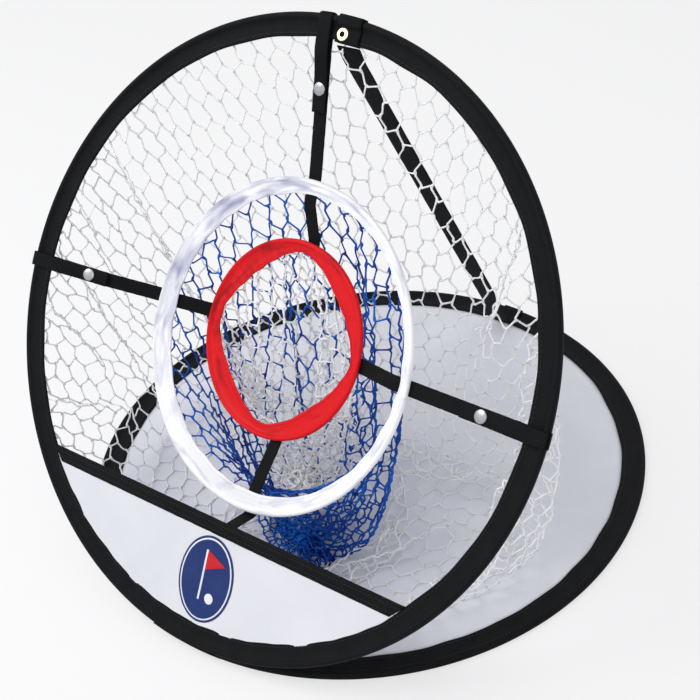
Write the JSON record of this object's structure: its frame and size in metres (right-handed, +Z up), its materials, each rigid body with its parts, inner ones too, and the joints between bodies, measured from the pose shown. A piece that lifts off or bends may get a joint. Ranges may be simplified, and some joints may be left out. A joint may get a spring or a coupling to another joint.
{
  "type": "golf chipping net",
  "caption": "Clam-shell chipping net: a leaning hoop with a ring target and net pockets, hinged to a flat base hoop.",
  "frame": {"origin": "centre of the base hoop, on the floor", "axes": "+Z up, +Y away from the golfer, from the hinge to the back"},
  "size_m": [0.613, 0.6153, 0.5054],
  "materials": {
    "spring_steel": "drawn wire, satin",
    "ferrule_steel": "crimped tube, satin",
    "black_binding": "folded binding tape, matte",
    "white_cloth": "coated polyester cloth, soft sheen",
    "black_webbing": "woven webbing, matte",
    "eyelet_metal": "pale brass, polished",
    "snap_metal": "stamped nickel, soft shine",
    "white_net": "knotted twine, matte",
    "blue_net": "knotted twine, matte",
    "white_ring_cloth": "gathered cloth sleeve, matte",
    "red_ring_cloth": "gathered cloth sleeve, matte"
  },
  "bodies": {
    "base": {"base_hoop_wire": "spring_steel", "base_wire_ferrule": "ferrule_steel", "base_hoop_sleeve": "black_binding", "floor_panel": "white_cloth", "hinge_tape_base": "black_webbing", "strap_foot": "black_webbing"},
    "front": {"front_hoop_wire": "spring_steel", "front_wire_ferrule": "ferrule_steel", "front_hoop_sleeve": "black_binding", "front_panel": "white_cloth", "panel_binding": "black_binding", "hinge_tape_front": "black_webbing", "strap_tab": "black_webbing", "eyelet": "eyelet_metal", "eyelet_washer": "eyelet_metal", "rear_strap": "black_webbing", "catch_net": "white_net", "arm_right": "black_webbing", "arm_top": "black_webbing", "arm_left": "black_webbing", "arm_bottom": "black_webbing", "snap_stud_right": "snap_metal", "snap_stud_top": "snap_metal", "snap_stud_left": "snap_metal", "snap_post_right": "snap_metal", "snap_post_top": "snap_metal", "snap_post_left": "snap_metal"},
    "white_target": {"white_ring_wire": "spring_steel", "white_ring_ferrule": "ferrule_steel", "white_ring_sleeve": "white_ring_cloth", "blue_pocket": "blue_net", "blue_pocket_tail": "blue_net", "inner_arm_right": "black_webbing", "inner_arm_top": "black_webbing", "inner_arm_left": "black_webbing", "inner_arm_bottom": "black_webbing"},
    "red_target": {"red_ring_wire": "spring_steel", "red_ring_ferrule": "ferrule_steel", "red_ring_sleeve": "red_ring_cloth", "white_pocket": "white_net", "white_pocket_tail": "white_net"},
    "flap_body_right": {"flap_right": "black_webbing", "snap_cap_right": "snap_metal", "snap_socket_right": "snap_metal"},
    "flap_body_top": {"flap_top": "black_webbing", "snap_cap_top": "snap_metal", "snap_socket_top": "snap_metal"},
    "flap_body_left": {"flap_left": "black_webbing", "snap_cap_left": "snap_metal", "snap_socket_left": "snap_metal"}
  },
  "joints": [
    {"name": "hoop_fold", "type": "hinge", "parent": "base", "child": "front", "pos_m": [0, -0.3056, 0.0073], "axis": [-1, 0, 0], "range_deg": [0, 52.1], "stiffness_Nm_per_rad": 0.8, "springref_deg": -126.05, "deforming": ["rear_strap", "catch_net"]},
    {"name": "white_ring_lift", "type": "slide", "parent": "front", "child": "white_target", "axis": [0, -0.8049, 0.5934], "range_m": [0, 0.038], "deforming": ["arm_right", "arm_top", "arm_left", "arm_bottom", "blue_pocket", "blue_pocket_tail"]},
    {"name": "red_ring_lift", "type": "slide", "parent": "white_target", "child": "red_target", "axis": [0, -0.8049, 0.5934], "range_m": [0, 0.016], "deforming": ["inner_arm_right", "inner_arm_top", "inner_arm_left", "inner_arm_bottom", "white_pocket", "white_pocket_tail"]},
    {"name": "snap_flap_right", "type": "hinge", "parent": "front", "child": "flap_body_right", "pos_m": [0.30589, -0.12958, 0.25986], "axis": [-0.007, 0.5934, 0.8049], "range_deg": [0, 110]},
    {"name": "snap_flap_top", "type": "hinge", "parent": "front", "child": "flap_body_top", "pos_m": [-0.01068, 0.05056, 0.50421], "axis": [-0.9994, -0.0207, -0.0281], "range_deg": [0, 110]},
    {"name": "snap_flap_left", "type": "hinge", "parent": "front", "child": "flap_body_left", "pos_m": [-0.3059, -0.13022, 0.259], "axis": [-0.0035, -0.5934, -0.8049], "range_deg": [0, 110]}
  ],
  "couplings": [
    {"joint": "white_ring_lift", "follows": "hoop_fold", "m_per_rad": 0.0415},
    {"joint": "red_ring_lift", "follows": "hoop_fold", "m_per_rad": 0.0174}
  ]
}
